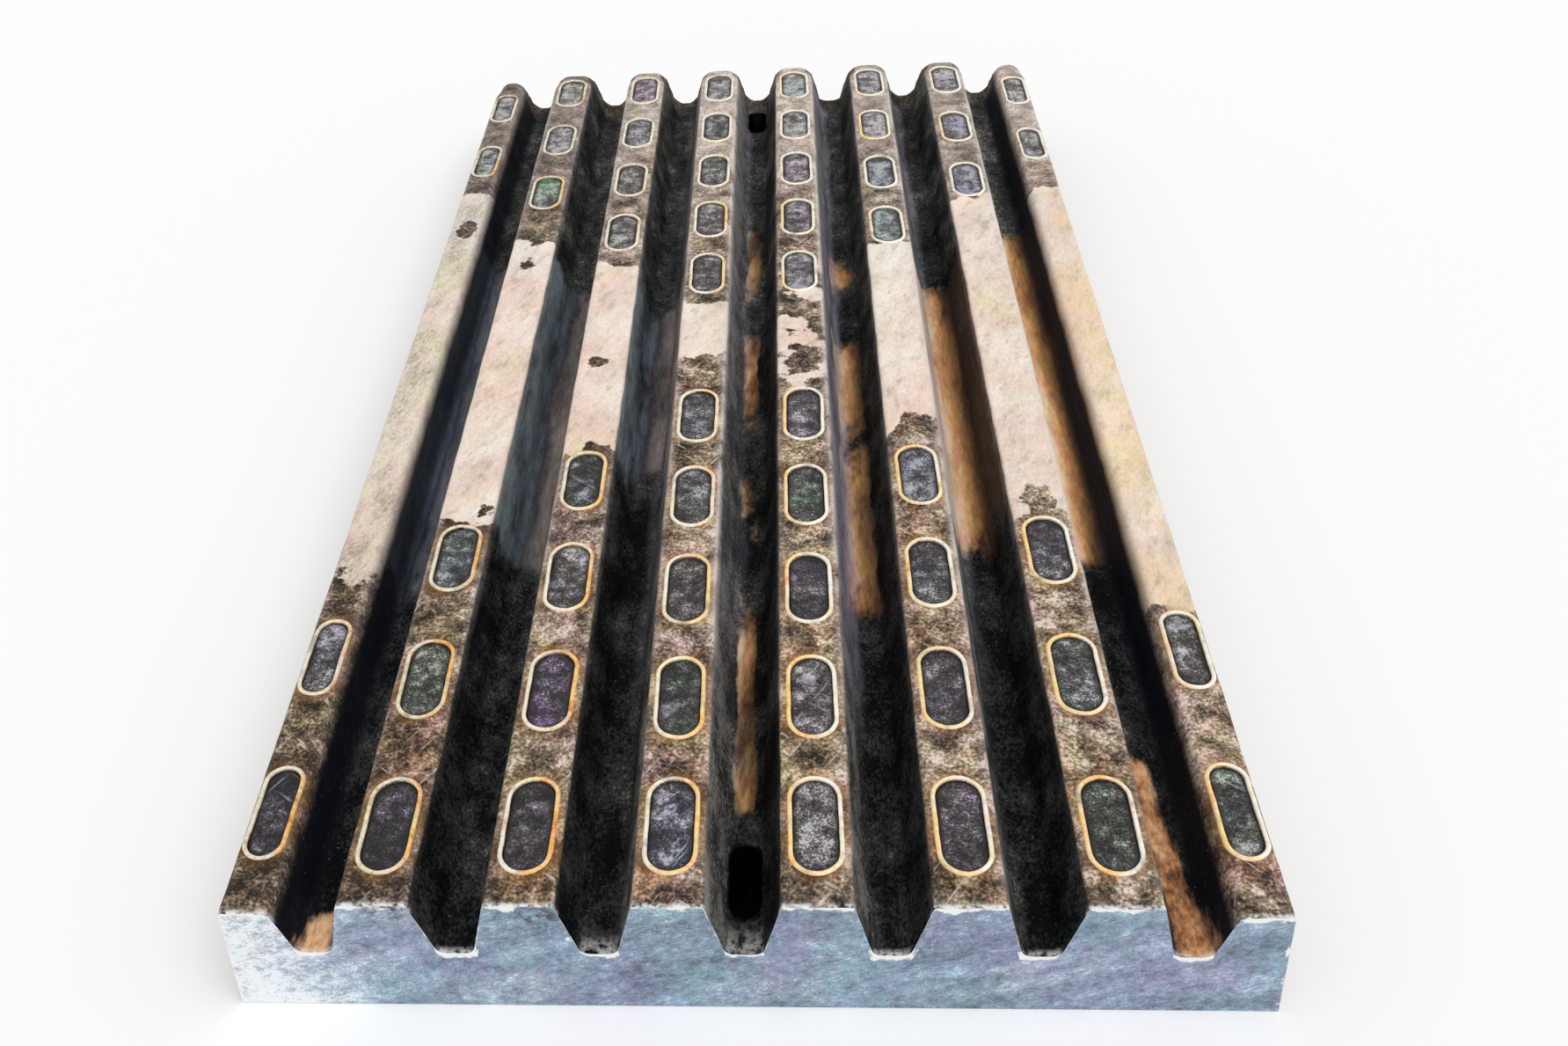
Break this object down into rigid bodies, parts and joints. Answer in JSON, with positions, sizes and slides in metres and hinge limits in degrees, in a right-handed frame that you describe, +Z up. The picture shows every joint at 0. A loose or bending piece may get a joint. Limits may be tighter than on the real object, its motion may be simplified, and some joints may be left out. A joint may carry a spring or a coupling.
{
  "type": "crusher jaw plate",
  "caption": "Ribbed wear plate for a rock crusher: tall parallel teeth with hard obround inserts set in the crests and a bolt slot near each end.",
  "frame": {"origin": "middle of the back, on the seat that the plate rests on", "axes": "+X across the teeth, +Y along the teeth from the ground front end to the cast rear end, +Z up out of the teeth"},
  "size_m": [0.7994, 1.48, 0.132],
  "materials": {
    "casting": "cast manganese steel, dark mottled oxide with pale worn crests and a ground front end",
    "insert": "rough dark carbide composite, speckled"
  },
  "bodies": {
    "root": {"insert_tooth_1_front_1": "insert", "insert_tooth_1_front_2": "insert", "insert_tooth_1_rear_1": "insert", "insert_tooth_1_rear_2": "insert", "insert_tooth_2_front_1": "insert", "insert_tooth_2_front_2": "insert", "insert_tooth_2_front_3": "insert", "insert_tooth_2_rear_1": "insert", "insert_tooth_2_rear_2": "insert", "insert_tooth_2_rear_3": "insert", "insert_tooth_3_front_1": "insert", "insert_tooth_3_front_2": "insert", "insert_tooth_3_front_3": "insert", "insert_tooth_3_front_4": "insert", "insert_tooth_3_rear_1": "insert", "insert_tooth_3_rear_2": "insert", "insert_tooth_3_rear_3": "insert", "insert_tooth_3_rear_4": "insert", "insert_tooth_4_front_1": "insert", "insert_tooth_4_front_2": "insert", "insert_tooth_4_front_3": "insert", "insert_tooth_4_front_4": "insert", "insert_tooth_4_front_5": "insert", "insert_tooth_4_rear_1": "insert", "insert_tooth_4_rear_2": "insert", "insert_tooth_4_rear_3": "insert", "insert_tooth_4_rear_4": "insert", "insert_tooth_4_rear_5": "insert", "insert_tooth_5_front_1": "insert", "insert_tooth_5_front_2": "insert", "insert_tooth_5_front_3": "insert", "insert_tooth_5_front_4": "insert", "insert_tooth_5_front_5": "insert", "insert_tooth_5_rear_1": "insert", "insert_tooth_5_rear_2": "insert", "insert_tooth_5_rear_3": "insert", "insert_tooth_5_rear_4": "insert", "insert_tooth_5_rear_5": "insert", "insert_tooth_6_front_1": "insert", "insert_tooth_6_front_2": "insert", "insert_tooth_6_front_3": "insert", "insert_tooth_6_front_4": "insert", "insert_tooth_6_rear_1": "insert", "insert_tooth_6_rear_2": "insert", "insert_tooth_6_rear_3": "insert", "insert_tooth_6_rear_4": "insert", "insert_tooth_7_front_1": "insert", "insert_tooth_7_front_2": "insert", "insert_tooth_7_front_3": "insert", "insert_tooth_7_rear_1": "insert", "insert_tooth_7_rear_2": "insert", "insert_tooth_7_rear_3": "insert", "insert_tooth_8_front_1": "insert", "insert_tooth_8_front_2": "insert", "insert_tooth_8_rear_1": "insert", "insert_tooth_8_rear_2": "insert", "plate_casting": "casting"}
  },
  "joints": []
}
